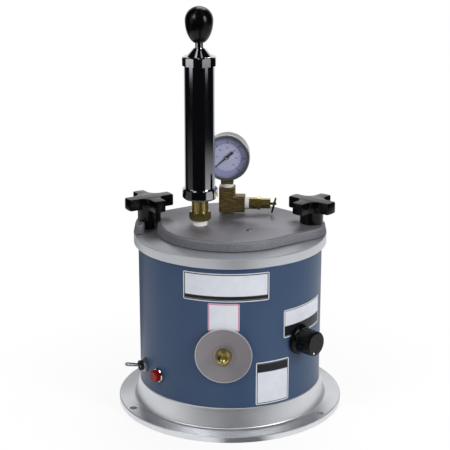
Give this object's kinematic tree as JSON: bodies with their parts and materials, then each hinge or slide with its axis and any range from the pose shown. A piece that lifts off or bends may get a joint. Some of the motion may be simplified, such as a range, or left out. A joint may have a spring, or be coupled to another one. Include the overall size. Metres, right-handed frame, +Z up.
{
  "type": "jewelry wax injector",
  "caption": "Hand-pumped heated wax pot on a flanged base, with a clamped swing lid, pressure gauge, relief valve, sprung front nozzle, dial, switch and lamp.",
  "frame": {"origin": "centre of the base flange's underside, on the axis of the wax pot", "axes": "+Z up along the pot's axis; -Y to the front, along the nozzle; +X to the right seen from the front, along the line of the two clamp studs"},
  "size_m": [0.261, 0.261, 0.4601],
  "materials": {
    "bright_aluminium": "brushed",
    "cast_aluminium": "cast, machined on the sealing faces",
    "blue_paint": "satin",
    "zinc_steel": "satin",
    "black_rubber": "matte",
    "white_blanket": "matte",
    "black_plastic": "satin",
    "nickel": "polished",
    "red_lens": "gloss, translucent",
    "bright_brass": "turned",
    "dull_brass": "tarnished",
    "black_steel": "black oxide",
    "black_phenolic": "gloss",
    "white_tape": "matte",
    "gauge_steel": "satin",
    "dial_white": "satin",
    "gauge_glass": "clear",
    "pointer_black": "satin",
    "piston_aluminium": "turned"
  },
  "bodies": {
    "injector_base": {"base_flange": "bright_aluminium", "bottom_cover": "bright_aluminium", "cover_screws": "zinc_steel", "outer_shell": "blue_paint", "wax_tank": "cast_aluminium", "lid_gasket": "black_rubber", "heater_band": "zinc_steel", "insulation_blanket": "white_blanket", "tie_rods": "zinc_steel", "tie_nuts": "zinc_steel", "thermostat_body": "black_plastic", "switch_body": "black_plastic", "switch_nut": "nickel", "lamp_body": "black_plastic", "lamp_bezel": "nickel", "lamp_lens": "red_lens", "valve_body": "bright_brass", "nozzle_spring": "zinc_steel", "nozzle_disc": "cast_aluminium", "cable_gland": "black_plastic", "gland_nut": "black_plastic", "clamp_studs": "black_steel"},
    "nozzle": {"nozzle": "bright_brass"},
    "switch_lever": {"switch_lever": "nickel"},
    "temperature_knob": {"temperature_knob": "black_phenolic", "thermostat_shaft": "zinc_steel"},
    "left_knob_lift": {"left_knob_insert": "dull_brass"},
    "left_knob_turn": {"left_knob": "black_phenolic"},
    "right_knob_lift": {"right_knob_insert": "dull_brass"},
    "right_knob_turn": {"right_knob": "black_phenolic"},
    "lid": {"lid": "cast_aluminium", "lid_plug": "zinc_steel", "pump_tape": "white_tape", "pump_adapter": "bright_brass", "check_spring": "zinc_steel", "pump_base_nut": "nickel", "pump_tube": "nickel", "pump_cap": "nickel", "fitting_tape": "white_tape", "gauge_tee": "dull_brass", "gauge_stem": "dull_brass", "gauge_case": "gauge_steel", "gauge_bezel": "gauge_steel", "gauge_dial": "dial_white", "gauge_window": "gauge_glass", "relief_valve_body": "bright_brass", "relief_spring": "zinc_steel"},
    "check_ball": {"check_ball": "zinc_steel"},
    "pump_rod": {"pump_rod": "nickel", "pump_piston": "piston_aluminium", "piston_cup": "black_rubber", "pump_grip": "black_phenolic"},
    "gauge_pointer": {"gauge_pointer": "pointer_black"},
    "relief_stem": {"relief_stem": "bright_brass"},
    "pull_ring": {"pull_ring": "nickel"}
  },
  "joints": [
    {"name": "nozzle_press", "type": "slide", "parent": "injector_base", "child": "nozzle", "axis": [0, 1, 0], "range_m": [0, 0.003], "stiffness_N_per_m": 1500, "springref_m": -0.003, "deforming": ["nozzle_spring"]},
    {"name": "switch_throw", "type": "hinge", "parent": "injector_base", "child": "switch_lever", "pos_m": [-0.09741, -0.04835, 0.0547], "axis": [0.4446, -0.8957, 0], "range_deg": [0, 24]},
    {"name": "temperature_turn", "type": "hinge", "parent": "injector_base", "child": "temperature_knob", "pos_m": [0.08536, -0.06937, 0.099], "axis": [0.776, -0.6307, 0], "range_deg": [-270, 0]},
    {"name": "left_knob_rise", "type": "slide", "parent": "injector_base", "child": "left_knob_lift", "axis": [0, 0, 1], "range_m": [0, 0.0191]},
    {"name": "left_knob_spin", "type": "hinge", "parent": "left_knob_lift", "child": "left_knob_turn", "pos_m": [-0.0927, 0, 0.215], "axis": [0, 0, 1], "range_deg": [0, 4320]},
    {"name": "right_knob_rise", "type": "slide", "parent": "injector_base", "child": "right_knob_lift", "axis": [0, 0, 1], "range_m": [0, 0.0191]},
    {"name": "right_knob_spin", "type": "hinge", "parent": "right_knob_lift", "child": "right_knob_turn", "pos_m": [0.0927, 0, 0.215], "axis": [0, 0, 1], "range_deg": [0, 4320]},
    {"name": "lid_swing", "type": "hinge", "parent": "injector_base", "child": "lid", "pos_m": [0.0927, 0, 0.2043], "axis": [0, 0, 1], "range_deg": [-120, 0]},
    {"name": "check_open", "type": "slide", "parent": "lid", "child": "check_ball", "axis": [0, 0, -1], "range_m": [0, 0.0012], "stiffness_N_per_m": 60, "springref_m": -0.002, "deforming": ["check_spring"]},
    {"name": "pump_stroke", "type": "slide", "parent": "lid", "child": "pump_rod", "axis": [0, 0, 1], "range_m": [0, 0.128]},
    {"name": "gauge_needle_turn", "type": "hinge", "parent": "lid", "child": "gauge_pointer", "pos_m": [-0.0056, 0.019, 0.2834], "axis": [0, 1, 0], "range_deg": [0, 270], "stiffness_Nm_per_rad": 0.0005, "springref_deg": -17.19},
    {"name": "relief_pull", "type": "slide", "parent": "lid", "child": "relief_stem", "axis": [1, 0, 0], "range_m": [0, 0.003], "stiffness_N_per_m": 2000, "springref_m": -0.002, "deforming": ["relief_spring"]},
    {"name": "ring_swing", "type": "hinge", "parent": "relief_stem", "child": "pull_ring", "pos_m": [0.0488, 0.0355, 0.2266], "axis": [0.2588, 0, 0.9659], "range_deg": [-25, 205]}
  ],
  "couplings": [
    {"joint": "left_knob_rise", "follows": "left_knob_spin", "m_per_rad": 0.00025266},
    {"joint": "right_knob_rise", "follows": "right_knob_spin", "m_per_rad": 0.00025266}
  ]
}
